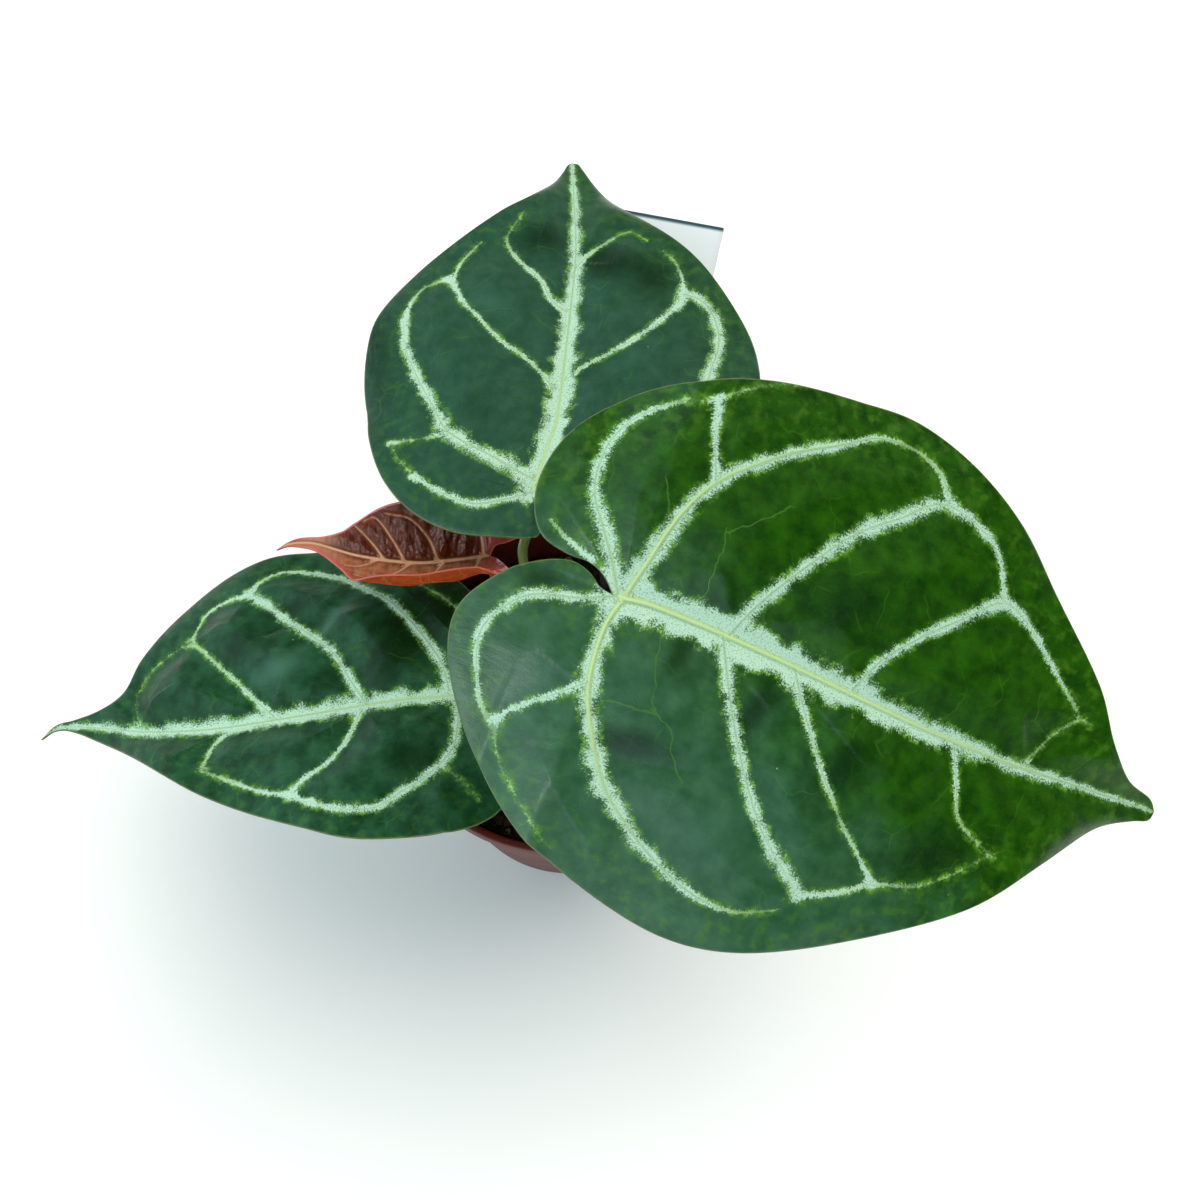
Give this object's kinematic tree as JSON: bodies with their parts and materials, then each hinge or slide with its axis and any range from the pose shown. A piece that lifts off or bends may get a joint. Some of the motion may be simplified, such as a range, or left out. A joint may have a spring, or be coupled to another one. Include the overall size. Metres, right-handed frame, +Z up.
{
  "type": "potted anthurium",
  "caption": "Potted foliage plant with broad heart-shaped, silver-veined leaves on stalks, bark soil, a round nursery pot and a blank plant label.",
  "frame": {"origin": "centre of the pot's flat base, on the surface that the pot stands on", "axes": "+Z up, -Y towards the viewer's side, +X towards the front leaf's tip"},
  "size_m": [0.3669, 0.3056, 0.2281],
  "materials": {
    "pot": "satin",
    "soil": "matte",
    "crown": "satin",
    "stalk": "satin",
    "mature_leaf": "gloss",
    "young_leaf": "gloss",
    "dry_sheath": "matte",
    "label": "satin"
  },
  "bodies": {
    "root": {"pot": "pot", "soil": "soil", "crown": "crown", "label": "label", "stalk_front": "stalk", "stalk_back": "stalk", "stalk_left": "stalk", "stalk_young": "stalk", "sheath_front": "dry_sheath", "sheath_right": "dry_sheath", "leaf_front": "mature_leaf", "leaf_back": "mature_leaf", "leaf_left": "mature_leaf", "leaf_young": "young_leaf"}
  },
  "joints": []
}
